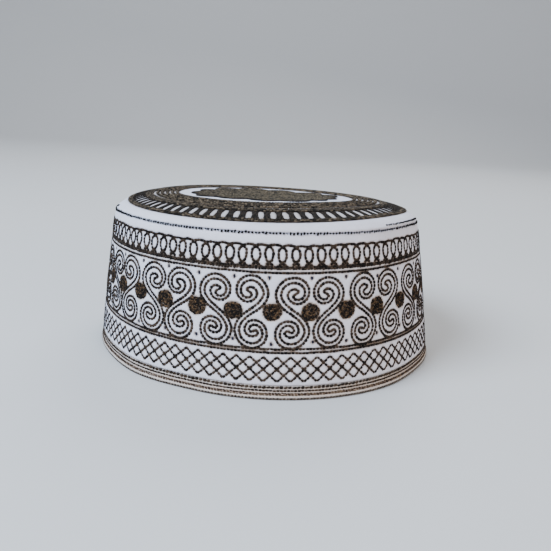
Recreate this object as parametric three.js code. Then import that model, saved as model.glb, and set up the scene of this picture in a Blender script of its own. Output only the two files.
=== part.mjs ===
import * as THREE from "three";

// Embroidered cap: a tapered side band, a domed crown sewn to its top edge,
// and a folded binding round the hem. Millimetres, +Z up, the front is -Y.

// Driving sizes
const HEM_RADIUS = 93;
const SEAM_RADIUS = 83.2;
const SEAM_HEIGHT = 76;
const DISC_RADIUS = 76.9;
const CLOTH = 2;
const HEM_CLOTH = 1.4;
const BINDING_CLOTH = 0.9;
const BINDING_HEIGHT = 6.5;
const TURN_DEPTH = 5.5;
const GAP = 0.3;
const SEGMENTS = 80;

// How the soft cap stands: its top leans left, tips up at the right, sags
// a little at both sides and sinks at the back
const LEAN = -2.85;
const SIDE_TILT = 0.0156;
const SIDE_SAG = 1;
const BACK_SINK = 3;

// Outer wall: the share of the seam height, and of the way from the seam
// radius out to the hem radius
const WALL = [
  { row: "above hem", up: 0.11, out: 0.905 },
  { row: "lattice", up: 0.19, out: 0.84 },
  { row: "lattice top", up: 0.26, out: 0.78 },
  { row: "double line", up: 0.31, out: 0.72 },
  { row: "scrolls low", up: 0.43, out: 0.635 },
  { row: "scrolls mid", up: 0.54, out: 0.53 },
  { row: "scrolls high", up: 0.66, out: 0.415 },
  { row: "scroll line", up: 0.77, out: 0.3 },
  { row: "loops", up: 0.86, out: 0.225 },
  { row: "loop tops", up: 0.93, out: 0.145 },
];

// Outer face of the binding, as shares of its height and of the hem radius
const BINDING = [
  { row: "foot edge", up: 0, out: 0.994 },
  { row: "fold", up: 0.11, out: 1 },
  { row: "ridge", up: 0.39, out: 0.998 },
  { row: "upper row", up: 0.72, out: 0.9915 },
  { row: "top edge", up: 1, out: 0.989 },
];

// Crown rings from the middle outward, as shares of the disc radius
const CROWN_RINGS = [0.2, 0.38, 0.52, 0.65, 0.77, 0.87, 0.945, 1];

// Steps down the plain shoulder, from the disc's edge to the seam
const SHOULDER_STEPS = [0.35, 0.7, 1];

// Crown height above the seam: a dome on a tilted, slightly twisted disc
const CROWN_LIFT = 1.9;
const CROWN_CENTRE = { x: -2.45, y: -0.5 };
const CROWN_TILT = { x: 0.0173, y: -0.033 };
const CROWN_TWIST = 0.00027;
const DOME = { middle: 3, ring: 6.2, edge: 6, forward: 4 };

// Soft dents of the lower edge: where, how wide, how far out, how high
const DENTS = [
  { at: -42, width: 11, out: 1.3, reach: 22 },
  { at: -23, width: 8, out: -0.5, reach: 16 },
  { at: 58, width: 12, out: -1.1, reach: 22 },
];

const DEGREE = Math.PI / 180;

// How far the lower edge stands out at an angle and a height
function dent(angle, height) {
  let out = 0;
  for (const d of DENTS) {
    const away = Math.cos(angle - d.at * DEGREE) - 1;
    const near = Math.exp((2 * away) / (d.width * DEGREE) ** 2);
    out += d.out * near * Math.exp(-height / d.reach);
  }
  return out;
}

// A point of the soft wall, given by its radius, height and angle
function place(radius, height, angle) {
  const share = height / SEAM_HEIGHT;
  const wide = radius + dent(angle, height);
  const x = wide * Math.sin(angle);
  const y = -wide * Math.cos(angle);
  const back = ((1 - Math.cos(angle)) / 2) ** 3;
  const sag = SIDE_SAG * share * Math.sin(angle) ** 2;
  const lift = SIDE_TILT * x - BACK_SINK * back - sag;
  return [x + LEAN * share, y, height + lift * share];
}

// A point of the crown's upper face, given by its share of the disc radius
function crownPoint(share, angle, drop) {
  const x = share * DISC_RADIUS * Math.sin(angle);
  const y = -share * DISC_RADIUS * Math.cos(angle);
  const q = share * share;
  const dome = DOME.middle + DOME.ring * q + DOME.edge * q * q;
  const forward = -DOME.forward * y / DISC_RADIUS;
  const tilt = CROWN_TILT.x * x + CROWN_TILT.y * y - CROWN_TWIST * x * y;
  const height = SEAM_HEIGHT + CROWN_LIFT + tilt + (1 - q) * (dome + forward);
  return [x + CROWN_CENTRE.x, y + CROWN_CENTRE.y, height - drop];
}

// The plain shoulder, from the disc's edge (0) down to the seam (1)
function shoulderPoint(t, angle) {
  const top = crownPoint(1, angle, 0);
  const low = place(SEAM_RADIUS, SEAM_HEIGHT + GAP / 2 + CLOTH / 2, angle);
  return top.map((value, i) => value + (low[i] - value) * t);
}

// Joins sections round the axis; each one gives a point for an angle
function turned(sections, poles) {
  const points = [];
  const faces = [];
  for (const section of sections) {
    for (let i = 0; i < SEGMENTS; i += 1) {
      points.push(...section((i / SEGMENTS) * 2 * Math.PI));
    }
  }
  const rows = poles ? sections.length - 1 : sections.length;
  for (let r = 0; r < rows; r += 1) {
    const a = r * SEGMENTS;
    const b = ((r + 1) % sections.length) * SEGMENTS;
    for (let i = 0; i < SEGMENTS; i += 1) {
      const j = (i + 1) % SEGMENTS;
      faces.push(a + i, b + i, b + j, a + i, b + j, a + j);
    }
  }
  if (poles) {
    const last = (sections.length - 1) * SEGMENTS;
    const top = points.length / 3;
    points.push(...poles[0]);
    points.push(...poles[1]);
    for (let i = 0; i < SEGMENTS; i += 1) {
      const j = (i + 1) % SEGMENTS;
      faces.push(top, i, j, top + 1, last + j, last + i);
    }
  }
  const geometry = new THREE.BufferGeometry();
  geometry.setAttribute("position", new THREE.Float32BufferAttribute(points, 3));
  geometry.setIndex(faces);
  geometry.computeVertexNormals();
  return geometry;
}

function at(radius, height) {
  return (angle) => place(radius, height, angle);
}

function piece(name, slot, color, roughness, geometry) {
  const material = new THREE.MeshStandardMaterial({ color, roughness, metalness: 0 });
  material.name = slot;
  const mesh = new THREE.Mesh(geometry, material);
  mesh.name = name;
  return mesh;
}

function bindingRows() {
  return BINDING.map((b) => ({
    radius: HEM_RADIUS * b.out,
    height: BINDING_HEIGHT * b.up,
  }));
}

// Side band: the wall, drawn in at the hem to slip into the binding
function sideBand() {
  const rows = bindingRows().slice(2);
  const tuck = BINDING_CLOTH + GAP;
  rows.unshift({ radius: rows[0].radius, height: tuck });
  rows[rows.length - 1].height = BINDING_HEIGHT + GAP;
  const outer = rows.map((r) => at(r.radius - tuck, r.height));
  const inner = rows.map((r) => at(r.radius - tuck - HEM_CLOTH, r.height));
  for (const w of WALL) {
    const radius = SEAM_RADIUS + (HEM_RADIUS - SEAM_RADIUS) * w.out;
    outer.push(at(radius, SEAM_HEIGHT * w.up));
    inner.push(at(radius - CLOTH, SEAM_HEIGHT * w.up));
  }
  outer.push(at(SEAM_RADIUS, SEAM_HEIGHT - GAP / 2));
  inner.push(at(SEAM_RADIUS - CLOTH, SEAM_HEIGHT - GAP / 2));
  return turned([...outer.reverse(), ...inner], null);
}

// Crown: the domed disc, its shoulder and the edge turned down inside
function crown() {
  const top = CROWN_RINGS.map((s) => (angle) => crownPoint(s, angle, 0));
  const under = CROWN_RINGS.map((s) => (angle) => crownPoint(s, angle, CLOTH));
  const shoulder = SHOULDER_STEPS.map((t) => (angle) => shoulderPoint(t, angle));
  const turnRadius = SEAM_RADIUS - CLOTH - GAP;
  const lip = [
    at(SEAM_RADIUS, SEAM_HEIGHT + GAP / 2),
    at(turnRadius, SEAM_HEIGHT + GAP / 2),
    at(turnRadius, SEAM_HEIGHT - TURN_DEPTH),
    at(turnRadius - CLOTH, SEAM_HEIGHT - TURN_DEPTH),
    at(turnRadius - CLOTH, SEAM_HEIGHT - CLOTH / 2),
  ];
  const poles = [crownPoint(0, 0, 0), crownPoint(0, 0, CLOTH)];
  const sections = [...top, ...shoulder, ...lip, ...under.reverse()];
  return turned(sections, poles);
}

// Hem binding: a narrow strip folded round the lower edge
function hemBinding() {
  const rows = bindingRows();
  const wrap = 2 * BINDING_CLOTH + 2 * GAP + HEM_CLOTH;
  const [foot, fold, ridge] = rows;
  const inside = [
    { radius: ridge.radius - wrap + fold.radius - foot.radius, height: 0 },
    { radius: ridge.radius - wrap, height: fold.height },
    ...rows.slice(2).map((r) => ({ radius: r.radius - wrap, height: r.height })),
  ];
  const pocket = rows.slice(2);
  pocket.unshift({ radius: ridge.radius, height: BINDING_CLOTH });
  const near = pocket.map((r) => at(r.radius - BINDING_CLOTH, r.height));
  const far = pocket.map((r) => at(r.radius - wrap + BINDING_CLOTH, r.height));
  const outside = rows.map((r) => at(r.radius, r.height));
  const sections = [
    ...outside.reverse(),
    ...inside.map((r) => at(r.radius, r.height)),
    ...far.reverse(),
    ...near,
  ];
  return turned(sections, null);
}

const group = new THREE.Group();
group.name = "embroidered_cap";
group.add(piece("side_band", "band_cloth", 0xd6d6e2, 0.9, sideBand()));
group.add(piece("crown", "crown_cloth", 0xd2d2df, 0.9, crown()));
group.add(piece("hem_binding", "binding_cloth", 0x6e6256, 0.85, hemBinding()));

export default group;
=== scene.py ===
import functools
import math

import bpy
import numpy as np
from bpy.props import FloatProperty, FloatVectorProperty, IntProperty, PointerProperty
from mathutils import Matrix, Vector


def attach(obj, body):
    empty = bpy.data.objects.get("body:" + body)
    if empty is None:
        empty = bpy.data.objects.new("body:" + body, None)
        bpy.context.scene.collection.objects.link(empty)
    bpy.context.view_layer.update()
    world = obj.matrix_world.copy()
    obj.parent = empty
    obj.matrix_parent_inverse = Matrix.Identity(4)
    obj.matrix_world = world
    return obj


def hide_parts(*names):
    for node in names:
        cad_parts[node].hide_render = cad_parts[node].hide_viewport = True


bl_info = {
    "name": "Embroidered cap",
    "version": (1, 0, 0),
    "blender": (4, 5, 0),
    "location": "View3D > Sidebar > Cap",
    "description": "Builds a white cotton cap worked all over in dark thread",
    "category": "Object",
}

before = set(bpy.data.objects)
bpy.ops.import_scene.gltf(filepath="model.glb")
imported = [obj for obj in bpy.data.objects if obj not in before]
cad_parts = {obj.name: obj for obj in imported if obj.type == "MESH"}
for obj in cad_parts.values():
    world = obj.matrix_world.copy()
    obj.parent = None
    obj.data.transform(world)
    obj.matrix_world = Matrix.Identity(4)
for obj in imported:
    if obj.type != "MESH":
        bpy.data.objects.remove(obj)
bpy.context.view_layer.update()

# The soft form of the cap, in millimetres. Angles start at the front (-Y)
# and grow towards +X.

SEAM_RADIUS = 83.2
SEAM_HEIGHT = 76.0
DISC_RADIUS = 76.9
CLOTH = 2.0
HEM_CLOTH = 1.4
BINDING_CLOTH = 0.9
BINDING_HEIGHT = 6.5
TURN_DEPTH = 5.5
GAP = 0.3
LEAN = -2.85
SIDE_TILT = 0.0156
SIDE_SAG = 1.0
BACK_SINK = 3.0

WALL = np.array([
    # height, radius
    (0.0, 92.44), (0.7, 93.0), (2.5, 92.81), (4.7, 92.2), (6.5, 91.98),
    (8.4, 92.07), (14.5, 91.43), (20.0, 90.84), (23.8, 90.26), (33.0, 89.42),
    (41.0, 88.4), (50.2, 87.27), (58.5, 86.14), (65.4, 85.4), (70.7, 84.62),
    (74.0, 83.9), (76.0, 83.2),
])

DENTS = np.array([
    # angle in degrees, width in degrees, out, height over which it fades
    (-42.0, 11.0, 1.3, 22.0),
    (-23.0, 8.0, -0.5, 16.0),
    (58.0, 12.0, -1.1, 22.0),
])

# Towards the back the top edge falls and draws in: from and to which angle in
# degrees it falls, how far, and how far in it is drawn where it is narrowest.
# At the right the fall is larger by a share, and the draw smaller by another.
TOP_FALL = (55.0, 112.0, 4.6, 0.9)
RIGHT_SHARES = (0.25, -0.2)

CROWN_LIFT = 1.76
CROWN_CENTRE = (-2.0, -0.62)
CROWN_DRIFT = -2.9
CROWN_TILT = (0.0154, -0.033)
CROWN_TWIST = 0.00025
DOME = (3.04, 5.56, 5.26, 3.05, 0.22)
# The disc's edge as shares of its radius: cosine of the angle, sine of twice
# the angle, cosine and sine of three times the angle
DISC_BULGE = (0.0088, -0.0099, 0.0082, 0.0074)
# A soft dip at the disc's right edge: angle and width in degrees, depth
DISC_DIP = (88.0, 28.0, 1.22)

TURN = 2 * math.pi


def smooth_curve(x, rows):
    """Cubic Hermite curve through the rows (place, value), its slope at each
    row being the mean slope of its neighbours."""
    xs, ys = rows[:, 0], rows[:, 1]
    slope = np.gradient(ys, xs)
    i = np.clip(np.searchsorted(xs, x) - 1, 0, len(xs) - 2)
    h = xs[i + 1] - xs[i]
    t = np.clip((x - xs[i]) / h, 0, 1)
    a = (1 + 2 * t) * (1 - t) ** 2
    b = t * (1 - t) ** 2
    c = t * t * (3 - 2 * t)
    d = t * t * (t - 1)
    return a * ys[i] + b * h * slope[i] + c * ys[i + 1] + d * h * slope[i + 1]


def dent(angle, height):
    """Sum of soft bumps: each is its depth times a bell of the angle times an
    exponential fade with height."""
    out = np.zeros(np.broadcast(angle, height).shape)
    for at, width, deep, reach in DENTS:
        away = np.cos(angle - math.radians(at)) - 1
        bell = np.exp(2 * away / math.radians(width) ** 2)
        out = out + deep * bell * np.exp(-height / reach)
    return out


def soft_waves(angle, height):
    """Slow hand-made unevenness of the wall: three low waves round the cap
    that change a little with height."""
    k = height / SEAM_HEIGHT
    return (0.28 * np.sin(3 * angle + 1.1 + 0.9 * k) * np.sin(math.pi * k)
            + 0.16 * np.sin(7 * angle - 0.6 + 2.1 * k) * np.sin(math.pi * k)
            + 0.10 * np.sin(13 * angle + 2.0 - 3.0 * k) * k)


def place(radius, height, angle):
    """Point of the soft wall: a circle of the radius plus the dents, leaned to
    the left, tipped up at the right and sunk at the back in proportion to
    its height, and sagging at both sides with the height's square. Round the
    sides it falls by a smooth step of the angle and narrows by a bell of it,
    each a little different at the right and at the left."""
    share = height / SEAM_HEIGHT
    start, stop, deep, drawn = TOP_FALL
    turned = np.degrees(np.abs((angle + math.pi) % TURN - math.pi))
    more, less = (1 + part * np.sin(angle) for part in RIGHT_SHARES)
    step = np.clip((turned - start) / (stop - start), 0, 1)
    narrow = drawn * less * np.exp(-((turned - 92) / 26) ** 2) * share ** 3
    wide = radius + dent(angle, height) - narrow
    x = wide * np.sin(angle)
    y = -wide * np.cos(angle)
    back = ((1 - np.cos(angle)) / 2) ** 3
    sag = SIDE_SAG * share * np.sin(angle) ** 2
    fall = deep * more * step * step * (3 - 2 * step) * (1 - back) * share
    lift = SIDE_TILT * x - BACK_SINK * back - sag - fall
    return np.stack(np.broadcast_arrays(x + LEAN * share, y, height + lift * share), -1)


def wall_point(angle, height, out):
    """Point out millimetres outside the wall's face."""
    radius = smooth_curve(height, WALL) + soft_waves(angle, height)
    return place(radius + out, height, angle)


def crown_point(angle, radius, up):
    """Point up millimetres above the crown's face: a tilted, slightly twisted
    disc plus a dome that is zero at its edge, leans forward, and drifts to
    the left towards its middle. Towards its edge the disc bulges by waves
    of one, two and three times the angle, and it dips at the right."""
    one, two, three, three_more = DISC_BULGE
    bulge = (one * np.cos(angle) + two * np.sin(2 * angle)
             + three * np.cos(3 * angle) + three_more * np.sin(3 * angle))
    radius = radius * (1 + bulge * (radius / DISC_RADIUS) ** 2)
    x = radius * np.sin(angle)
    y = -radius * np.cos(angle)
    q = (radius / DISC_RADIUS) ** 2
    middle, ring, edge, forward, side = DOME
    dome = middle + ring * q + edge * q * q - (forward * y + side * x) / DISC_RADIUS
    tilt = CROWN_TILT[0] * x + CROWN_TILT[1] * y - CROWN_TWIST * x * y
    at, width, deep = DISC_DIP
    away = np.cos(angle - math.radians(at)) - 1
    dip = deep * np.exp(2 * away / math.radians(width) ** 2) * q * q
    soft = 0.15 * np.sin(2 * angle + 0.5) * q + 0.12 * np.sin(5 * angle + radius / 9)
    z = SEAM_HEIGHT + CROWN_LIFT + tilt + (1 - q) * dome + soft * (1 - q) - dip + up
    x = x + CROWN_CENTRE[0] + CROWN_DRIFT * (1 - q)
    return np.stack(np.broadcast_arrays(x, y + CROWN_CENTRE[1], z), -1)


def shoulder_point(angle, share, up):
    """Point of the plain shoulder, on a straight slope from the disc's edge
    (share 0) to the seam (share 1), slightly full in the middle."""
    top = crown_point(angle, np.full_like(angle, DISC_RADIUS), 0.0)
    low = place(SEAM_RADIUS, np.full_like(angle, SEAM_HEIGHT + GAP / 2 + CLOTH / 2), angle)
    point = top + (low - top) * share[..., None]
    point[..., 2] += 0.5 * np.sin(math.pi * share) + up
    return point


# Rows of stitches. A stitch is a row of four numbers: the angle and the
# height (or crown radius) of its two ends.


def along(path, pitch, length, rng, loose=0.06):
    """Stitches of one length laid at one pitch along a polyline, by equal
    steps of its arc length, with a little looseness."""
    step = np.hypot(*np.diff(path, axis=0).T)
    run = np.concatenate([[0], np.cumsum(step)])
    n = max(1, round(run[-1] / pitch))
    start = (np.arange(n) + 0.5) * run[-1] / n - length / 2
    both = np.stack([np.interp(start + ahead, run, path[:, k])
                     for ahead in (0, length) for k in (0, 1)], -1)
    return both + rng.normal(0, loose, both.shape)


def repeat(stitches, angles, height, radius, rng, mirror=None, loose=0.05, vary=0.0):
    """Copies stitches drawn flat round (0, 0) to every angle of a ring, turned
    over left to right where mirror is -1. Each copy is stretched, skewed and
    shifted a little by a random amount that vary sets."""
    n = len(angles)
    warp = np.eye(2) + rng.normal(0, vary, (n, 2, 2))
    shift = rng.normal(0, 6 * vary, (n, 1, 2))
    s = np.concatenate([stitches[:, :2] @ warp + shift, stitches[:, 2:] @ warp + shift], -1)
    s = s + rng.normal(0, loose, s.shape)
    flip = np.ones(n) if mirror is None else mirror
    out = s + (0, height, 0, height)
    out[..., ::2] = angles[:, None, None] + s[..., ::2] * flip[:, None, None] / radius
    return out.reshape(-1, 4)


def ring_row(height, radius, pitch, length, rng, slant=0.0, wander=0.12, loose=0.05,
             start=0.0, stop=TURN):
    """One row of running stitches round the cap that wanders a little from
    its level, each stitch raised by slant from end to end."""
    n = max(1, round(radius * (stop - start) / pitch))
    mid = start + (np.arange(n) + 0.5) * (stop - start) / n
    phase = rng.uniform(0, TURN, 3)
    level = height + wander * (np.sin(5 * mid + phase[0]) + 0.6 * np.sin(11 * mid + phase[1])
                               + 0.4 * np.sin(23 * mid + phase[2])) / 2
    half = length / 2 / radius
    s = np.stack([mid - half, level - slant / 2, mid + half, level + slant / 2], -1)
    jitter = rng.normal(0, loose, s.shape)
    jitter[:, [0, 2]] /= radius
    return s + jitter


def ring_angles(count, first, ahead=0.0, drift=0.0):
    """Equal angles round the ring, drifting slowly as handwork does: each is
    itself plus ahead times its sine and drift times one minus its cosine."""
    a = np.arange(count) * TURN / count
    a = (a + math.pi) % TURN - math.pi
    return a + ahead * np.sin(a) + drift * (1 - np.cos(a)) + math.radians(first)


# Height of the scrolls' middle, the radius of each band of figures, and how
# many of each go round
SCROLL_MIDDLE = 41.0
SCROLL_SPAN, LOOP_SPAN, LATTICE_SPAN = 89.0, 85.2, 91.3
DISC_COUNT, LATTICE_COUNT, LOOP_COUNT, WINDOW_COUNT = 32, 92, 90, 80

# Each scroll's two lines, wound in towards the middle of its upper and lower
# spiral: quarter turns, and radius
UPPER_OUTER = [(0, 8.6), (1, 7.45), (2, 6.45), (3, 4.3), (4, 3.3), (5, 2.3), (5.7, 2.2)]
UPPER_INNER = [(0, 6.4), (1, 5.15), (2, 4.5), (3, 2.4), (3.6, 1.35)]
LOWER_OUTER = [(0, 8.8), (1, 8.0), (2, 6.3), (3, 4.85), (4, 4.05), (5, 2.6), (6, 2.2), (6.4, 0.8)]
LOWER_INNER = [(0, 6.7), (1, 5.85), (2, 4.25), (3, 2.8), (4, 1.9), (4.7, 0.7)]
UPPER_CENTRE = (-1.2, 8.3)
LOWER_CENTRE = (0.6, -9.0)


def spiral(rows, centre, first):
    """Spiral through the radii, one each quarter turn, from the first angle
    round against the clock."""
    rows = np.array(rows)
    turn = np.linspace(0, rows[-1, 0], 24 * len(rows))
    radius = smooth_curve(turn, rows)
    a = math.radians(first) + turn * math.pi / 2
    return np.stack([centre[0] + radius * np.cos(a), centre[1] + radius * np.sin(a)], -1)


def bezier(p0, p1, p2, p3):
    """Cubic Bezier curve without its two ends."""
    t = np.linspace(0, 1, 40)[1:-1, None]
    return ((1 - t) ** 3 * p0 + 3 * t * (1 - t) ** 2 * np.array(p1)
            + 3 * t * t * (1 - t) * np.array(p2) + t ** 3 * p3)


def scroll_line():
    """The S scroll drawn flat as one closed line: out of the upper spiral,
    down between the discs, into the lower spiral, and back beside itself."""
    out = spiral(UPPER_OUTER, UPPER_CENTRE, 0)[::-1]
    down = spiral(LOWER_INNER, LOWER_CENTRE, 180)
    back = spiral(LOWER_OUTER, LOWER_CENTRE, 180)[::-1]
    up = spiral(UPPER_INNER, UPPER_CENTRE, 0)
    first = bezier(out[-1], (7.6, 0.0), (-5.4, -1.0), down[0])
    second = bezier(up[0], (5.0, 1.5), (-7.8, -0.5), back[-1])[::-1]
    return np.concatenate([out, first, down, back, second, up, out[:1]])


@functools.lru_cache(maxsize=None)
def wall_work(pitch, length):
    """Every row of stitches on the side band, by name."""
    rng = np.random.default_rng(41)
    work = {}
    discs = np.sort(ring_angles(DISC_COUNT, 2.6, 0.028, 0.063))
    nexts = np.concatenate([discs[1:], [discs[0] + TURN]])
    middles = (discs + nexts) / 2
    front = int(np.argmin(np.abs(middles - math.radians(-3.65))))
    mirror = np.where((np.arange(len(middles)) - front) % 2 == 0, 1, -1)
    flat = along(scroll_line(), pitch, length, rng, 0.03)
    work["scrolls"] = repeat(flat, middles, SCROLL_MIDDLE, SCROLL_SPAN, rng, mirror, 0.06, 0.016)

    filled = []
    for r in (3.7, 3.05, 2.35, 1.65, 0.95, 0.3):
        n = max(3, round(TURN * r / 0.88))
        a = np.arange(n + 1) * TURN / n
        filled.append(along(np.stack([r * 1.05 * np.cos(a), r * 0.98 * np.sin(a)], -1), 0.88, 1.0, rng, 0.14))
    work["discs"] = repeat(np.concatenate(filled), discs, SCROLL_MIDDLE - 0.1, SCROLL_SPAN, rng,
                           None, 0.2, 0.02)

    bars = ((-0.4, 0.45), (0, 0.65), (0.4, 0.45))
    dots = [np.array([(x - half, y + up, x + half, y + up) for up, half in bars])
            for x, y in ((0.2, 15.2), (0.0, -14.2))]
    work["eyelets"] = np.concatenate([repeat(dot, discs, SCROLL_MIDDLE, SCROLL_SPAN, rng, None, 0.1, 0.04)
                                      for dot in dots])

    lines = [ring_row(z, r, pitch, length * 1.04, rng) for z, r in
             ((22.3, 90.4), (23.9, 90.2), (58.6, 86.1))]
    lines += [ring_row(z, 85.8, pitch * 0.85, length * 0.9, rng, slant=s, loose=0.12) for z, s in
              ((60.4, 0.25), (61.2, -0.25))]
    work["lines"] = np.concatenate(lines)

    a = np.linspace(0, TURN, 60)
    oval = np.stack([1.92 * np.sin(a) * (1 + 0.08 * np.cos(a)), 3.45 * np.cos(a)], -1)
    loop_pitch = TURN * LOOP_SPAN / LOOP_COUNT
    arc = np.linspace(0, 1, 30)
    cover = np.stack([arc * loop_pitch, 3.9 + 0.5 * np.sin(math.pi * arc)], -1)
    legs = [np.array([(0.3 * side, -3.3), (-0.6 * side, -3.9), (-1.7 * side, -4.6)]) for side in (1, -1)]
    flat = np.concatenate([along(oval, pitch * 0.94, length * 0.98, rng, 0.03),
                           along(cover, pitch * 0.9, length, rng, 0.03)]
                          + [along(leg, 0.95, 1.15, rng, 0.05) for leg in legs])
    loops = ring_angles(LOOP_COUNT, 1.45, 0.0, 0.08)
    work["loops"] = repeat(flat, loops, 66.45, LOOP_SPAN, rng, None, 0.07, 0.02)

    pitch_wide = TURN * LATTICE_SPAN / LATTICE_COUNT
    low, high = 8.7, 20.2
    rise = np.linspace(0, 1, 40)
    one = np.stack([(rise - 0.5) * 2 * pitch_wide, low + rise * (high - low)], -1)
    flat = np.concatenate([along(one * (side, 1), pitch, length * 1.04, rng, 0.02) for side in (1, -1)])
    tips = ring_angles(LATTICE_COUNT, 0.3, 0.0, 0.05)
    work["lattice"] = repeat(flat, tips, 0.0, LATTICE_SPAN, rng, None, 0.06)
    return work


@functools.lru_cache(maxsize=None)
def hem_work(pitch, length):
    """Rows of stitches on the binding, by name."""
    rng = np.random.default_rng(43)
    rows = {}
    rows["upper"] = ring_row(6.05, 92.0, 2.0, 2.0, rng, slant=0.3, wander=0.1, loose=0.08)
    rows["second"] = ring_row(4.5, 92.2, pitch, length * 1.05, rng)
    rows["twist"] = np.concatenate([
        ring_row(z, 92.6, 1.5, 1.5, rng, slant=-0.4, wander=0.14, loose=0.1) for z in (3.15, 2.5)])
    for name, ahead in (("edge", 0.0), ("cream", 0.8)):
        rows[name] = ring_row(0.84, 92.9, 1.6, 0.75, rng, slant=1.3, loose=0.05,
                              start=ahead / 92.9, stop=TURN + ahead / 92.9)
    return rows


# The medallion: mean radius, how many lobes and how far they stand out, the
# angle of one of them in degrees, how uneven they are, and how far it is
# set towards the back
MEDALLION_RADIUS = 38.6
LOBES, LOBE_OUT, LOBE_AT = 13, 2.8, -57.0
UNEVEN, SET_BACK = 1.7, 1.8


def petal(angle):
    """Outline of the medallion: round lobes with sharp notches between them,
    by the size of a cosine, on a slow wave four times round, less a cosine
    that sets it back."""
    lobe = np.abs(np.cos(LOBES / 2 * (angle - math.radians(LOBE_AT))))
    slow = np.cos(4 * (angle - math.radians(28)))
    middle = MEDALLION_RADIUS - SET_BACK * np.cos(angle)
    return middle + LOBE_OUT * (2 * lobe ** 0.8 - 1) + UNEVEN * slow


@functools.lru_cache(maxsize=None)
def crown_work(pitch, length):
    """Every row of stitches on the crown, by name."""
    rng = np.random.default_rng(47)
    work = {}
    work["edge"] = np.concatenate([
        ring_row(r, r, pitch * 0.9, length * 1.02, rng, slant=s, wander=0.1, loose=0.12)
        for r, s in ((76.35, 0.3), (75.55, -0.3), (74.75, 0.3),
                     (66.4, 0.2), (65.5, -0.3), (64.7, 0.2), (64.0, -0.2), (63.3, 0.2))])
    bar = np.linspace(0, 1, 12)
    flare = 1 + 0.9 * np.abs(2 * bar - 1) ** 3
    bars = [along(np.stack([side * flare, bar * 7.5 - 3.9], -1), 1.15, 1.4, rng, 0.05)
            for side in (-0.75, 0.0, 0.75)]
    windows = ring_angles(WINDOW_COUNT, 0.1)
    work["ladder"] = repeat(np.concatenate(bars), windows, 70.7, 70.7, rng, None, 0.08, 0.02)
    work["rings"] = np.concatenate([
        ring_row(middle + off, middle, pitch * 0.88, length, rng, slant=slant, loose=0.1)
        for middle in (60.4, 57.8, 55.05, 52.15, 49.3)
        for off, slant in ((0.28, 0.5), (-0.28, -0.5))])
    a = np.linspace(-math.pi, math.pi, 1600)

    def polar(r, loose):
        """Stitches along the line of radii r, turned to angles and radii."""
        s = along(np.stack([r * np.sin(a), -r * np.cos(a)], -1), pitch * 0.92, length * 1.02, rng, loose)
        return np.stack([np.arctan2(s[:, 0], -s[:, 1]), np.hypot(s[:, 0], s[:, 1]),
                         np.arctan2(s[:, 2], -s[:, 3]), np.hypot(s[:, 2], s[:, 3])], -1)

    fill = np.concatenate([
        polar(petal(a) * share + 0.55 * np.sin(a * round(26 * share + 6) + k * 1.7) * share, 0.14)
        for k, share in enumerate(np.linspace(0.955, 0.03, 33))])
    outline = np.concatenate([polar(petal(a) - inset, 0.06) for inset in (0.4, 1.2)])
    for name, rows in (("medallion", fill), ("outline", outline)):
        near = (rows[:, 0] - rows[:, 2] + math.pi) % TURN - math.pi
        rows[:, 0] = rows[:, 2] + near
        work[name] = rows
    return work


# Relief of the cloth: rows of stitches pull it down, and it puffs up between


# The cells of a field, the points that stand for one stitch, and the widths
# of the close and the wide blur
CELL = 0.28
MARKS = 6
BLURS = (0.42, 1.1)
# The wall's field: the mean radius it is unrolled on, how far it starts below
# the lower edge, and how tall it is. Half the width of the crown's field.
WALL_SPAN, WALL_FOOT, WALL_TALL = 90.0, 8, 96.0
WALL_ROUND = round(TURN * WALL_SPAN / CELL) * CELL
CROWN_HALF = 90


def spread(x, y, size):
    """How closely a surface is worked, as stitches to the square millimetre:
    marks in square cells, blurred with a close and with a wide bell by
    multiplying their Fourier transforms."""
    nx, ny = (int(round(s / CELL)) for s in size)
    ix = np.floor(x / CELL).astype(int) % nx
    iy = np.clip(np.floor(y / CELL).astype(int), 0, ny - 1)
    marks = np.bincount(ix * ny + iy, minlength=nx * ny).reshape(nx, ny).astype(float)
    fx = np.fft.fftfreq(nx, CELL)[:, None]
    fy = np.fft.rfftfreq(ny, CELL)[None]
    bells = [np.exp(-2 * (math.pi * blur) ** 2 * (fx ** 2 + fy ** 2)) for blur in BLURS]
    waves = np.fft.rfft2(marks)
    return [np.fft.irfft2(waves * bell, s=marks.shape) / CELL ** 2 / MARKS for bell in bells]


def look_up(field, x, y):
    """Field between its cells, by the four nearest and their distances."""
    nx, ny = field.shape
    gx, gy = x / CELL - 0.5, y / CELL - 0.5
    ix, iy = np.floor(gx).astype(int), np.floor(gy).astype(int)
    tx, ty = gx - ix, gy - iy
    i0, i1 = ix % nx, (ix + 1) % nx
    j0, j1 = np.clip(iy, 0, ny - 1), np.clip(iy + 1, 0, ny - 1)
    return ((field[i0, j0] * (1 - tx) + field[i1, j0] * tx) * (1 - ty)
            + (field[i0, j1] * (1 - tx) + field[i1, j1] * tx) * ty)


def marks_on(work):
    """Points spaced along each stitch of all the rows."""
    stitches = np.concatenate(list(work.values()))
    t = np.linspace(0, 1, MARKS)
    a = stitches[:, 0, None] + (stitches[:, 2] - stitches[:, 0])[:, None] * t
    v = stitches[:, 1, None] + (stitches[:, 3] - stitches[:, 1])[:, None] * t
    return a.ravel(), v.ravel()


@functools.lru_cache(maxsize=None)
def wall_fields(pitch, length):
    """Close and wide blur of the wall's stitches, on its unrolled surface."""
    a, v = marks_on(wall_work(pitch, length))
    return spread((a % TURN) / TURN * WALL_ROUND, v + WALL_FOOT, (WALL_ROUND, WALL_TALL))


def wall_worked(angle, height):
    """Close and wide blur at points of the wall."""
    x = (angle % TURN) / TURN * WALL_ROUND
    return [look_up(field, x, height + WALL_FOOT) for field in wall_fields(*sizes()[:2])]


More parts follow.
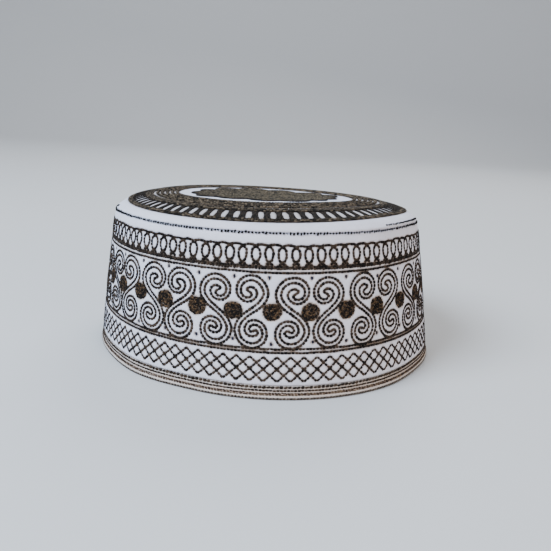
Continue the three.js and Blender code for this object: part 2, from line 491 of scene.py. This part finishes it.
@functools.lru_cache(maxsize=None)
def crown_fields(pitch, length):
    """Close and wide blur of the crown's stitches, seen from above."""
    a, v = marks_on(crown_work(pitch, length))
    return spread(v * np.sin(a) + CROWN_HALF, -v * np.cos(a) + CROWN_HALF, (2.0 * CROWN_HALF,) * 2)


def crown_worked(angle, radius):
    """Close and wide blur at points of the crown."""
    x, y = radius * np.sin(angle) + CROWN_HALF, -radius * np.cos(angle) + CROWN_HALF
    return [look_up(field, x, y) for field in crown_fields(*sizes()[:2])]


def pulled(worked, relief):
    """How far stitches pull the cloth in: the relief times a curve that rises
    quickly with the closeness of the work and then levels out."""
    return -relief * (1 - np.exp(-2.2 * worked))


def covered(close):
    """How much of the cloth the thread hides: nothing where the work is open,
    rising to nearly all of it where the work is close."""
    return np.clip((close - 0.14) / 0.26, 0, 0.94)


# Meshes


def new_object(name, data):
    """A new object in the scene."""
    one = bpy.data.objects.new(name, data)
    bpy.context.scene.collection.objects.link(one)
    return one


def new_piece(name, verts, faces):
    """Makes a smooth mesh object from arrays: points in millimetres, and the
    corners of its triangles. Turned the right way out by the sign of its
    volume."""
    verts = verts.reshape(-1, 3) / 1000
    a, b, c = (verts[faces[:, k]] for k in range(3))
    if np.einsum("ij,ij->i", a, np.cross(b, c)).sum() < 0:
        faces = faces[:, ::-1]
    mesh = bpy.data.meshes.new(name)
    mesh.vertices.add(len(verts))
    mesh.vertices.foreach_set("co", verts.ravel())
    mesh.loops.add(faces.size)
    mesh.loops.foreach_set("vertex_index", faces.ravel().astype(np.int32))
    mesh.polygons.add(len(faces))
    mesh.polygons.foreach_set("loop_start", np.arange(0, faces.size, 3, dtype=np.int32))
    mesh.polygons.foreach_set("use_smooth", np.ones(len(faces), bool))
    mesh.update(calc_edges=True)
    if mesh.validate():
        raise RuntimeError(name + ": the mesh had faults")
    return new_object(name, mesh), faces


def turned_shell(name, sections, poles=None):
    """Closed shell from rings of points, section by section (sections, round,
    3). Without poles the last section joins the first; with them each end
    closes in a fan."""
    rows, count = sections.shape[:2]
    i = np.arange(count)
    j = (i + 1) % count
    last = rows - 1 if poles is not None else rows
    a = np.arange(last)[:, None] * count
    b = (np.arange(last)[:, None] + 1) % rows * count
    quads = np.stack([a + i, a + j, b + j, b + i], -1).reshape(-1, 4)
    tris = np.concatenate([quads[:, [0, 1, 2]], quads[:, [0, 2, 3]]])
    verts = sections.reshape(-1, 3)
    if poles is not None:
        n = len(verts)
        verts = np.concatenate([verts, poles])
        end = (rows - 1) * count
        tris = np.concatenate([tris, np.stack([j, i, np.full(count, n)], -1),
                               np.stack([end + i, end + j, np.full(count, n + 1)], -1)])
    return new_piece(name, verts, tris)


def set_value(piece, name, values):
    """Stores one number for each point of the mesh."""
    field = piece.data.attributes.new(name, "FLOAT", "POINT")
    field.data.foreach_set("value", np.asarray(values, np.float32).ravel())


def store_map(piece, name, uv):
    """Stores a map of the surface, corner by corner."""
    layer = piece.data.uv_layers.new(name=name)
    layer.data.foreach_set("uv", uv.astype(np.float32).ravel())


def set_uv(piece, faces, u, v, wrap=True):
    """Stores the cloth's map. Where a face crosses the closing line, its low
    side is moved one turn on."""
    uv = np.stack([np.ravel(u)[faces], np.ravel(v)[faces]], -1)
    if wrap:
        over = uv[..., 0].max(1) - uv[..., 0].min(1) > 0.5
        uv[over, :, 0] += np.where(uv[over, :, 0] < 0.5, 1.0, 0.0)
    store_map(piece, "cloth", uv)


# A stitch: how far apart its two middle rings stand, as a share of its length,
# how many sides they have, and the corners of the faces at one side. A corner
# is its ring (2 and 3 are the tips) and how many sides on it is.
STITCH_RING = 0.66
STITCH_SIDES = 5
STITCH_FACES = np.array([
    ((0, 0), (0, 1), (1, 1)), ((0, 0), (1, 1), (1, 0)),
    ((0, 1), (0, 0), (2, 0.5)), ((1, 0), (1, 1), (3, 0.5)),
])


def stitch_solid(name, surface, stitches, size, tone, worked=None, relief=0.0, rise=0.0):
    """One closed mesh of all the stitches. Each is a grain: two five-sided
    rings near its middle, closed to a point at both ends, bowed away from
    the surface in the middle."""
    width, height = size
    a0, v0, a1, v1 = stitches.T
    am, vm = (a0 + a1) / 2, (v0 + v1) / 2
    sink = pulled(worked(am, vm)[0], relief) if worked else 0.0
    a = surface(a0, v0, sink + rise)
    b = surface(a1, v1, sink + rise)
    normal = surface(am, vm, sink + rise + 1.0) - surface(am, vm, sink + rise)
    along_it = b - a
    length = np.linalg.norm(along_it, axis=1, keepdims=True)
    along_it /= length
    across = np.cross(normal, along_it)
    across /= np.linalg.norm(across, axis=1, keepdims=True)
    normal = np.cross(along_it, across)
    n, s = len(stitches), STITCH_SIDES
    rng = np.random.default_rng(n)
    wide = width * rng.uniform(0.86, 1.14, (n, 1))
    turn = np.arange(s) * TURN / s + math.pi / 2
    ring = (across[:, None] * np.cos(turn)[None, :, None] * (wide / 2)[:, None]
            + normal[:, None] * np.sin(turn)[None, :, None] * height / 2)
    mid = (a + b) / 2 + normal * height * 0.35
    first = (mid - along_it * length / 2 * STITCH_RING)[:, None] + ring
    second = (mid + along_it * length / 2 * STITCH_RING)[:, None] + ring
    ends = np.stack([a, b], 1) - normal[:, None] * height * 0.15
    verts = np.concatenate([first, second, ends], 1)
    verts[..., 2] = np.maximum(verts[..., 2], 0)
    per = 2 * s + 2
    round_it = (STITCH_FACES[:, None, :, 1] + np.arange(s)[:, None]).reshape(-1, 3)
    level = np.repeat(STITCH_FACES[..., 0].astype(int), s, 0)
    base = np.where(level < 2, level * s + round_it % s, 2 * s + level - 2).astype(int)
    faces = (np.arange(n)[:, None, None] * per + base).reshape(-1, 3)
    first_face = faces[0, 0]
    piece, faces = new_piece(name, verts, faces)
    flipped = faces[0, 0] != first_face
    low, high = tone
    set_value(piece, "tone", np.repeat(low + (high - low) * rng.random(n) ** 2, per))
    levels = np.array([(1 - STITCH_RING) / 2, (1 + STITCH_RING) / 2, 0, 1])
    v = levels[level] * length[:, :, None]
    u = np.broadcast_to(round_it / s, v.shape)
    uv = np.stack([u, v], -1).reshape(-1, 3, 2)
    if flipped:
        uv = uv[:, ::-1]
    store_map(piece, "thread", uv)
    return piece


# Materials


def linear(colour):
    """Display colour to scene-linear."""
    c = np.asarray(colour[:3], float)
    return tuple(np.where(c <= 0.04045, c / 12.92, ((c + 0.055) / 1.055) ** 2.4)) + (1.0,)


def start_material(name, values):
    """A new material and its shader, with some of the shader's inputs set."""
    material = bpy.data.materials.new(name)
    material.use_nodes = True
    shader = material.node_tree.nodes["Principled BSDF"]
    for socket, value in values.items():
        shader.inputs[socket].default_value = value
    return material, shader


def feed(material, socket, value):
    """Links an output to a socket, or sets the socket to a constant."""
    if isinstance(value, bpy.types.NodeSocket):
        material.node_tree.links.new(value, socket)
    else:
        socket.default_value = value


def node(material, kind, inputs):
    """Adds a node and feeds its inputs, given by name."""
    one = material.node_tree.nodes.new("ShaderNode" + kind)
    for name, value in inputs.items():
        feed(material, one.inputs[name], value)
    return one


def blend(material, factor, a, b):
    """Colour between two colours, by a factor."""
    mix = material.node_tree.nodes.new("ShaderNodeMix")
    mix.data_type = "RGBA"
    for name, value in (("Factor", factor), ("A", a), ("B", b)):
        feed(material, mix.inputs[name], value)
    return mix.outputs["Result"]


def stored(material, name):
    """A number stored on the mesh."""
    value = node(material, "Attribute", {})
    value.attribute_name = name
    return value.outputs["Fac"]


def own_map(material, layer, scale):
    """The piece's own map, scaled."""
    uv = node(material, "UVMap", {})
    uv.uv_map = layer
    return node(material, "Mapping", {"Vector": uv.outputs["UV"], "Scale": scale}).outputs["Vector"]


def add_bump(material, shader, height, strength, distance):
    """Fine relief of the shader by a height."""
    bump = node(material, "Bump", {"Strength": strength, "Distance": distance, "Height": height})
    feed(material, shader.inputs["Normal"], bump.outputs["Normal"])


# The tint under close thread, and the share of white that clouds fall to
HIDDEN_TINT = (0.47, 0.405, 0.35)
CLOUD_SHADE = 0.86


def cotton(name, white, worked, weave):
    """White cotton: softly clouded, with a fine bump of noise on its own map,
    darkened towards the worked colour by the stored worked value, which on the
    wall and the crown is painted shade round close stitches, and tinted where
    thread hides it."""
    material, shader = start_material(name, {"Roughness": 0.88, "Sheen Weight": 0.12,
                                             "Sheen Roughness": 0.5, "Specular IOR Level": 0.25})
    crumb = node(material, "TexNoise", {"Vector": own_map(material, "cloth", weave),
                                        "Scale": 1.0, "Detail": 3.0})
    ground = node(material, "TexCoord", {}).outputs["Object"]
    cloud = node(material, "TexNoise", {"Vector": ground, "Scale": 60.0, "Detail": 5.0,
                                        "Roughness": 0.85})
    soft = blend(material, cloud.outputs["Fac"], linear(white), linear([c * CLOUD_SHADE for c in white]))
    # The worked value darkens the cloth towards the worked colour: painted shade round close stitches on the
    # wall and the crown
    ramp = node(material, "ValToRGB", {"Fac": stored(material, "worked")})
    low, high = ramp.color_ramp.elements
    low.position, high.position = 0.12, 0.6
    high.color = (0.7, 0.7, 0.7, 1)
    tinted = blend(material, ramp.outputs["Color"], soft, linear(worked))
    colour = blend(material, stored(material, "covered"), tinted, linear(HIDDEN_TINT))
    feed(material, shader.inputs["Base Color"], colour)
    add_bump(material, shader, crumb.outputs["Fac"], 1.0, 0.0004)
    return material


# Twisted thread: how many plies, how far it is from ply to ply, and how dark
# the painted shade in the grooves between them is
PLIES = 2
PLY_STEP = 0.5
GROOVE_SHADE = 0.72


def thread(name, dark, light):
    """Twisted thread: each stitch has its own shade between two colours, and
    its plies wind round it along its own map, with painted shade in the
    grooves between them."""
    material, shader = start_material(name, {"Roughness": 0.7, "Specular IOR Level": 0.12})
    # A wave texture goes through ten radians in each unit of its map
    scale = (PLIES * TURN / 10, TURN / PLY_STEP / 10, 1)
    ply = node(material, "TexWave", {"Vector": own_map(material, "thread", scale),
                                     "Scale": 1.0, "Distortion": 0.6})
    ply.bands_direction = "DIAGONAL"
    strand = blend(material, stored(material, "tone"), linear(dark), linear(light))
    # Painted shade: the grooves between the plies are darker than the strands
    groove_painted_shade = linear([c * GROOVE_SHADE for c in dark])
    feed(material, shader.inputs["Base Color"], blend(material, ply.outputs["Fac"], groove_painted_shade, strand))
    add_bump(material, shader, ply.outputs["Fac"], 0.6, 0.00012)
    return material


def plain(name, colour, roughness):
    """One colour, without texture."""
    return start_material(name, {"Base Color": linear(colour), "Roughness": roughness})[0]


def finish_piece(piece, material, slot, *nodes):
    """Gives the piece its material and body, and hides the CAD nodes that it
    stands for. The slot is not used."""
    piece.data.materials.append(material)
    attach(piece, "root")
    if nodes:
        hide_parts(*nodes)


# Settings


class CapSizes(bpy.types.PropertyGroup):
    """Sizes of the work on the cap."""

    stitch_pitch: FloatProperty(name="Stitch pitch", description="From one stitch to the next in a row",
                                default=0.00165, unit="LENGTH")
    stitch_length: FloatProperty(name="Stitch length", description="Length of one stitch on the face",
                                 default=0.00166, unit="LENGTH")
    stitch_width: FloatProperty(name="Thread width", description="Width of the thread on the face",
                                default=0.00142, unit="LENGTH")
    stitch_height: FloatProperty(name="Thread height", description="How thick a stitch is",
                                 default=0.00068, unit="LENGTH")
    relief: FloatProperty(name="Relief", description="How far stitches pull the cloth in",
                          default=0.00042, unit="LENGTH")
    round_wall: IntProperty(name="Steps round the wall", description="Points of the mesh round the wall",
                            default=840, min=80)
    round_crown: IntProperty(name="Steps round the crown", description="Points of the mesh round the crown",
                             default=640, min=80)


class CapColours(bpy.types.PropertyGroup):
    """Colours of the cap and of the stage, as displayed."""

    white: FloatVectorProperty(name="Cotton", description="Colour of the plain cloth", subtype="COLOR",
                               default=(0.925, 0.925, 0.975))
    # Worked cotton is the colour of the painted shade that the cloth takes round close stitches
    worked: FloatVectorProperty(name="Worked cotton", description="Colour of cloth between close stitches",
                                subtype="COLOR", default=(0.83, 0.78, 0.74))
    dark: FloatVectorProperty(name="Dark thread", description="Darkest thread", subtype="COLOR",
                              default=(0.070, 0.056, 0.050))
    brown: FloatVectorProperty(name="Brown thread", description="Lightest strands of the wall's thread",
                               subtype="COLOR", default=(0.37, 0.305, 0.25))
    bronze: FloatVectorProperty(name="Bronze thread", description="Lightest strands of the discs",
                                subtype="COLOR", default=(0.50, 0.39, 0.28))
    olive: FloatVectorProperty(name="Olive thread", description="Lightest strands of the medallion",
                               subtype="COLOR", default=(0.57, 0.51, 0.41))
    copper: FloatVectorProperty(name="Copper thread", description="Lightest strands of the hem",
                                subtype="COLOR", default=(0.55, 0.47, 0.38))
    floor: FloatVectorProperty(name="Floor", description="Colour of the floor", subtype="COLOR",
                               default=(0.80, 0.80, 0.80))


def sizes():
    """Pitch and length of the stitches, and the relief, in millimetres."""
    s = bpy.context.scene.cap_sizes
    return s.stitch_pitch * 1000, s.stitch_length * 1000, s.relief * 1000


def stitch_size(wide, tall):
    """Width and height of a stitch in millimetres, each times its own scale."""
    s = bpy.context.scene.cap_sizes
    return s.stitch_width * 1000 * wide, s.stitch_height * 1000 * tall


def sew(start, surface, work, slot, table, **cloth):
    """Makes a piece of each row of a table: the name of its stitches, which
    the start of its own name comes before, its material, range of tone,
    scale of width and of height, and how far it is raised."""
    for name, material, tone, wide, tall, rise in table:
        piece = stitch_solid(start + name, surface, work[name], stitch_size(wide, tall), tone,
                             rise=rise, **cloth)
        finish_piece(piece, material, slot)


# The pieces


# Width over which the cloth rolls in at an edge
ROLL = 0.9


def cloth_material(name, weave, shade):
    """White cotton whose painted shade round close stitches is as much darker as the shade says."""
    colours = bpy.context.scene.cap_colours
    return cotton(name, colours.white, [c * shade for c in colours.worked], weave)


class CAP_OT_side_band(bpy.types.Operator):
    """Cloth wall: rings of the soft wall from the tucked-in lower edge up to the seam, outside and in"""

    bl_idname = "cap.side_band"
    bl_label = "Side band"

    def execute(self, context):
        relief = sizes()[2]
        count = context.scene.cap_sizes.round_wall
        angle = np.arange(count) * TURN / count
        tuck = BINDING_CLOTH + GAP
        heights = np.linspace(BINDING_HEIGHT + 0.16, SEAM_HEIGHT - GAP / 2 - 0.25, 96)
        a, h = np.meshgrid(angle, heights)
        close, wide = wall_worked(a, h)
        edge = np.clip((SEAM_HEIGHT - h) / ROLL, 0, 1) * np.clip((h - BINDING_HEIGHT) / ROLL, 0.3, 1)
        outer = wall_point(a, h, pulled(close, relief) - 0.35 * (1 - edge))
        neck_heights = (tuck, 2.5, 4.7, BINDING_HEIGHT + 0.06)
        neck = wall_point(*np.meshgrid(angle, neck_heights), -tuck)
        inner_heights = np.array([8.0, 16.0, 26.0, 36.0, 46.0, 56.0, 66.0, 72.0, SEAM_HEIGHT - GAP / 2])
        inner = wall_point(*np.meshgrid(angle, inner_heights), -CLOTH)
        neck_in = wall_point(*np.meshgrid(angle, neck_heights), -tuck - HEM_CLOTH)
        rim = wall_point(*np.meshgrid(angle, inner_heights[-1:]), -0.55)
        sections = np.concatenate([neck, outer, rim, inner[::-1], neck_in[::-1]])
        piece, faces = turned_shell("side_band_cloth", sections)
        rows = len(sections)
        face = slice(len(neck), len(neck) + len(heights))
        worked, hidden = np.zeros((2, rows, count))
        # Painted shade round the stitches: the wide blur of the work darkens the cloth
        worked[face] = wide
        hidden[face] = covered(close)
        set_value(piece, "worked", worked)
        set_value(piece, "covered", hidden)
        # Rows 0.72 mm apart, on a wall about 560 mm round
        set_uv(piece, faces, *np.meshgrid(angle / TURN, np.arange(rows) * 0.72 / 560))
        finish_piece(piece, cloth_material("band_cotton", (1400, 1400, 1), 1.0), "band_cloth", "side_band")
        return {"FINISHED"}


class CAP_OT_crown(bpy.types.Operator):
    """Crown: rings of the dome, the plain shoulder, the turned-in edge and the underside"""

    bl_idname = "cap.crown"
    bl_label = "Crown"

    def execute(self, context):
        relief = sizes()[2]
        count = context.scene.cap_sizes.round_crown
        angle = np.arange(count) * TURN / count
        radii = np.concatenate([np.linspace(2, 38, 22), np.linspace(39.2, DISC_RADIUS + 0.2, 52)])
        a, r = np.meshgrid(angle, radii)
        close, wide = crown_worked(a, r)
        edge = np.clip((r - DISC_RADIUS + 0.7) / ROLL, 0, 1)
        top = crown_point(a, np.minimum(r, DISC_RADIUS), pulled(close, relief) * (1 - edge))
        top[-1] = crown_point(angle, np.full(count, DISC_RADIUS + 0.2), 0.0)
        shares = np.array([0.07, 0.2, 0.34, 0.48, 0.62, 0.76, 0.88, 0.96])
        shoulder = shoulder_point(*np.meshgrid(angle, shares), 0.0)
        level = SEAM_HEIGHT + GAP / 2
        inside = SEAM_RADIUS - CLOTH - GAP
        edge_rows = [(SEAM_RADIUS + 0.05, level + 0.45), (SEAM_RADIUS - 0.25, level), (inside, level),
                     (inside, SEAM_HEIGHT - TURN_DEPTH), (inside - CLOTH, SEAM_HEIGHT - TURN_DEPTH),
                     (inside - CLOTH, SEAM_HEIGHT - CLOTH / 2)]
        lip = [place(radius, np.full(count, z), angle) for radius, z in edge_rows]
        under_radii = np.linspace(DISC_RADIUS, 12, 9)
        under = crown_point(*np.meshgrid(angle, under_radii), -CLOTH)
        sections = np.concatenate([top, shoulder, lip, under])
        poles = [crown_point(0.0, 0.0, pulled(1.0, relief)), crown_point(0.0, 0.0, -CLOTH)]
        piece, faces = turned_shell("crown_cloth", sections, np.array(poles))
        rows = len(sections)
        worked, hidden = np.zeros((2, rows, count))
        n = len(radii)
        # Painted shade: the cloth darkens round the stitches, and is greyer all over from the inmost ring out
        # to the disc's edge
        ring_zone_shade = np.clip((r - 49) * 2, 0, 1) * np.clip((77 - r) * 2, 0, 1)
        worked[:n] = wide + 0.35 * ring_zone_shade
        hidden[:n] = covered(close)
        set_value(piece, "worked", np.append(worked, [1, 0]))
        set_value(piece, "covered", np.append(hidden, [0.9, 0]))
        # The map is the crown seen from above, 200 mm wide, with the shoulder
        # and the turned edge laid round it
        reach = np.concatenate([radii, 77 + 9 * shares, np.full(len(edge_rows), 87.0), under_radii])
        u, v = (np.append(0.5 + reach[:, None] * way / 200, [0.5, 0.5])
                for way in (np.sin(angle), -np.cos(angle)))
        set_uv(piece, faces, u, v, wrap=False)
        # The crown's painted shade round the stitches is darker than the wall's
        finish_piece(piece, cloth_material("crown_cotton", (500, 500, 1), 0.72), "crown_cloth", "crown")
        return {"FINISHED"}


class CAP_OT_hem_binding(bpy.types.Operator):
    """Hem binding: a strip folded round the lower edge, with a low corded ridge"""

    bl_idname = "cap.hem_binding"
    bl_label = "Hem binding"

    def execute(self, context):
        count = 480
        angle = np.arange(count) * TURN / count
        wrap = 2 * BINDING_CLOTH + 2 * GAP + HEM_CLOTH
        rows = np.array([(0.0, 0.0), (0.25, 0.0), (0.7, 0.0), (1.2, 0.12), (1.6, 0.22), (2.0, 0.1),
                         (2.5, -0.05), (3.1, -0.05), (3.7, 0.08), (4.25, -0.12), (4.9, 0.1), (5.4, 0.04),
                         (5.85, -0.12), (6.2, 0.0), (6.45, -0.2)])
        z, out = rows.T[..., None]
        twist = 0.06 * np.sin(angle * 210) * ((z > 0.5) & (z < 2.1))
        outside = wall_point(*np.meshgrid(angle, z), out + twist)
        high = (2.5, 4.7, BINDING_HEIGHT - 0.05)
        foot, _, ridge = WALL[:3, 1] - wrap
        inside = [place(foot + 0.9, np.zeros(count), angle), place(ridge, np.full(count, 0.7), angle)]
        inner = wall_point(*np.meshgrid(angle, high), -wrap)
        pocket = np.meshgrid(angle, (BINDING_CLOTH,) + high)
        far = wall_point(*pocket, -wrap + BINDING_CLOTH)
        near = wall_point(*pocket, -BINDING_CLOTH)
        sections = np.concatenate([outside[::-1], inside, inner, far[::-1], near])
        piece, faces = turned_shell("hem_binding_cloth", sections)
        heights = np.concatenate([rows[::-1, 0], np.full(len(sections) - len(rows), 5.0)])
        brown = np.interp(heights, [0, 0.9, 1.3, 1.9, 2.4, 3.1, 3.6, 4.3, 5.0, 5.9, 6.5],
                          [1.0, 0.9, 0.1, 0.1, 0.75, 0.7, 0.2, 0.6, 0.1, 0.4, 0.1])
        set_value(piece, "worked", np.repeat(brown, count))
        set_value(piece, "covered", np.repeat(np.where(heights < 0.5, 0.5, 0.0), count))
        # Rows about 0.6 mm apart, on a hem about 560 mm round
        set_uv(piece, faces, *np.meshgrid(angle / TURN, np.arange(len(sections)) / 900))
        material = cotton("binding_cotton", (0.87, 0.825, 0.79), (0.55, 0.44, 0.38), (1400, 1400, 1))
        finish_piece(piece, material, "binding_cloth", "hem_binding")
        return {"FINISHED"}


class CAP_OT_wall_embroidery(bpy.types.Operator):
    """Embroidery of the wall: scrolls, filled discs, eyelets, loops, lattice and lines"""

    bl_idname = "cap.wall_embroidery"
    bl_label = "Wall embroidery"

    def execute(self, context):
        pitch, length, relief = sizes()
        colours = context.scene.cap_colours
        dark = thread("wall_thread", colours.dark, colours.brown)
        bronze = thread("disc_thread", colours.dark, colours.bronze)
        navy = thread("eyelet_thread", (0.10, 0.11, 0.17), (0.20, 0.22, 0.32))
        sew("embroidery_", wall_point, wall_work(pitch, length), "band_cloth", (
            ("scrolls", dark, (0, 1), 1.0, 1.0, 0.0),
            ("loops", dark, (0, 0.8), 0.92, 0.92, 0.05),
            ("lattice", dark, (0, 1), 0.84, 0.84, 0.0),
            ("lines", dark, (0, 0.9), 0.86, 0.86, 0.02),
            ("discs", bronze, (-0.25, 1.05), 0.7, 0.7, 0.25),
            ("eyelets", navy, (0, 1), 0.6, 0.6, 0.0)), worked=wall_worked, relief=relief)
        return {"FINISHED"}


class CAP_OT_crown_embroidery(bpy.types.Operator):
    """Embroidery of the crown: edge, ladder of windows, rings and medallion"""

    bl_idname = "cap.crown_embroidery"
    bl_label = "Crown embroidery"

    def execute(self, context):
        pitch, length, relief = sizes()
        colours = context.scene.cap_colours
        dark = thread("crown_thread", colours.dark, colours.brown)
        brown = thread("ring_thread", colours.dark, (0.54, 0.475, 0.395))
        olive = thread("medallion_thread", colours.dark, colours.olive)
        sew("crown_", crown_point, crown_work(pitch, length), "crown_cloth", (
            ("edge", brown, (0, 1), 0.92, 1.0, 0.36),
            ("ladder", dark, (0, 0.4), 0.98, 0.82, 0.18),
            ("rings", brown, (0, 1.3), 0.58, 1.1, 0.45),
            ("outline", dark, (0, 0.6), 0.9, 1.0, 0.35),
            ("medallion", olive, (0, 1), 0.95, 1.0, 0.35)), worked=crown_worked, relief=relief)
        return {"FINISHED"}


class CAP_OT_sewing(bpy.types.Operator):
    """Sewing: hand stitches along the crown seam and the rows on the binding"""

    bl_idname = "cap.sewing"
    bl_label = "Sewing"

    def execute(self, context):
        pitch, length, _ = sizes()
        colours = context.scene.cap_colours
        rng = np.random.default_rng(53)
        seam = ring_row(SEAM_HEIGHT - 0.1, 86.0, 1.6, 0.6, rng, slant=1.15, loose=0.16)
        dark = thread("seam_thread", [c * 0.7 for c in colours.dark], colours.dark)
        sew("seam_", wall_point, {"stitches": seam}, "band_cloth",
            [("stitches", dark, (0, 1), 0.68, 0.68, 0.2)])
        extra = ring_row(0.9, 83.0, 1.9, 0.8, rng, slant=0.03, wander=0.02, loose=0.02,
                         start=math.radians(44), stop=math.radians(76))
        lone = np.array([(math.radians(-73.5), 0.82, math.radians(-72), 0.97)])
        sew("shoulder_", shoulder_point, {"stitches": np.concatenate([extra, lone])}, "crown_cloth",
            [("stitches", dark, (0, 1), 0.85, 1.2, 0.05)])
        brown = thread("hem_thread", colours.dark, colours.brown)
        copper = thread("copper_thread", (0.22, 0.17, 0.14), colours.copper)
        cream = thread("cream_thread", (0.48, 0.44, 0.41), (0.70, 0.66, 0.62))
        sew("hem_", wall_point, hem_work(pitch, length), "binding_cloth", (
            ("upper", brown, (0.15, 1.5), 0.94, 0.94, 0.0),
            ("second", brown, (0.15, 1.5), 0.72, 0.72, 0.0),
            ("twist", copper, (0, 1), 0.5, 0.5, 0.0),
            ("edge", brown, (0, 1), 0.7, 0.7, 0.1),
            ("cream", cream, (0, 1), 0.7, 0.7, 0.1)))
        return {"FINISHED"}


# Camera worked out from the embroidery's rings: place in millimetres, angles
# in degrees and focal length in pixels of the 551 pixel frame
CAMERA_PLACE = (0.0, -381.0, 133.6)
CAMERA_PITCH, CAMERA_ROLL, CAMERA_YAW = 14.49, 3.42, 0.60
CAMERA_FOCAL, FRAME = 681.0, 551.0


def camera_matrix():
    """Forward from yaw and pitch, then right and up turned by the roll."""
    p, r, y = (math.radians(v) for v in (CAMERA_PITCH, CAMERA_ROLL, CAMERA_YAW))
    forward = Vector((math.sin(y) * math.cos(p), math.cos(y) * math.cos(p), -math.sin(p)))
    right = Vector((math.cos(y), -math.sin(y), 0))
    up = right.cross(forward)
    turned_right = right * math.cos(r) + up * math.sin(r)
    turned_up = up * math.cos(r) - right * math.sin(r)
    turn = Matrix((turned_right, turned_up, -forward)).transposed()
    return Matrix.Translation(Vector(CAMERA_PLACE) / 1000) @ turn.to_4x4()


def soft_light(name, place_at, aim, width, power, colour):
    """A round soft light, turned towards its aim."""
    data = bpy.data.lights.new(name, "AREA")
    data.shape = "DISK"
    data.size = width
    data.energy = power
    data.color = colour
    light = new_object(name, data)
    light.location = place_at
    light.rotation_euler = (Vector(aim) - Vector(place_at)).to_track_quat("-Z", "Y").to_euler()
    return light


class CAP_OT_stage(bpy.types.Operator):
    """Stage: a pale floor that sweeps up behind, soft lights and the camera"""

    bl_idname = "cap.stage"
    bl_label = "Stage"

    def execute(self, context):
        colours = context.scene.cap_colours
        reach = np.array([-3.0, -1.5, 0.0, 1.4])
        bend = np.linspace(0, math.pi / 2, 16)
        y = np.concatenate([reach, 1.4 + 0.8 * np.sin(bend[1:]), [2.2]])
        z = np.concatenate([np.zeros(4), 0.8 * (1 - np.cos(bend[1:])), [3.0]])
        points = [(x, *row) for x in (-4.0, 4.0) for row in zip(y, z)]
        k = np.arange(len(y) - 1)
        faces = np.stack([k, k + len(y), k + len(y) + 1, k + 1], -1)
        mesh = bpy.data.meshes.new("studio_floor")
        mesh.from_pydata(points, [], faces.tolist())
        mesh.polygons.foreach_set("use_smooth", np.ones(len(faces), bool))
        floor = new_object("studio_floor", mesh)
        mesh.materials.append(plain("studio_paper", colours.floor, 0.7))
        lights = [soft_light("key_light", (-0.9, -0.7, 1.15), (0, 0, 0.04), 0.9, 48.0, (0.71, 0.84, 1.0)),
                  soft_light("fill_light", (0.9, -1.1, 0.22), (0, 0, 0.03), 1.0, 12.0, (1.0, 0.79, 0.60)),
                  soft_light("rim_light", (0.3, 1.0, 1.1), (0, 0, 0.06), 1.0, 11.0, (0.95, 0.98, 1.0))]
        world = bpy.data.worlds.new("studio_air")
        world.use_nodes = True
        air = world.node_tree.nodes["Background"]
        air.inputs["Color"].default_value = (0.88, 0.90, 0.95, 1)
        air.inputs["Strength"].default_value = 0.55
        context.scene.world = world
        data = bpy.data.cameras.new("camera")
        data.sensor_width = 36.0
        data.lens = 36.0 * CAMERA_FOCAL / FRAME
        data.clip_start = 0.01
        camera = new_object("camera", data)
        camera.matrix_world = camera_matrix()
        context.scene.camera = camera
        return {"FINISHED"}


OPERATORS = (CAP_OT_side_band, CAP_OT_crown, CAP_OT_hem_binding, CAP_OT_wall_embroidery,
             CAP_OT_crown_embroidery, CAP_OT_sewing, CAP_OT_stage)


class CAP_PT_panel(bpy.types.Panel):
    """Lists the settings and the steps that build the cap"""

    bl_idname = "CAP_PT_panel"
    bl_label = "Embroidered cap"
    bl_space_type = "VIEW_3D"
    bl_region_type = "UI"
    bl_category = "Cap"

    def draw(self, context):
        for group in (context.scene.cap_sizes, context.scene.cap_colours):
            for name in group.__annotations__:
                self.layout.prop(group, name)
        for operator in OPERATORS:
            self.layout.operator(operator.bl_idname)


CLASSES = (CapSizes, CapColours) + OPERATORS + (CAP_PT_panel,)


def register():
    for one in CLASSES:
        bpy.utils.register_class(one)
    bpy.types.Scene.cap_sizes = PointerProperty(type=CapSizes)
    bpy.types.Scene.cap_colours = PointerProperty(type=CapColours)


def unregister():
    del bpy.types.Scene.cap_colours
    del bpy.types.Scene.cap_sizes
    for one in reversed(CLASSES):
        bpy.utils.unregister_class(one)


def main():
    """Builds every piece."""
    register()
    for operator in OPERATORS:
        group, name = operator.bl_idname.split(".")
        getattr(getattr(bpy.ops, group), name)()


if __name__ == "__main__":
    main()
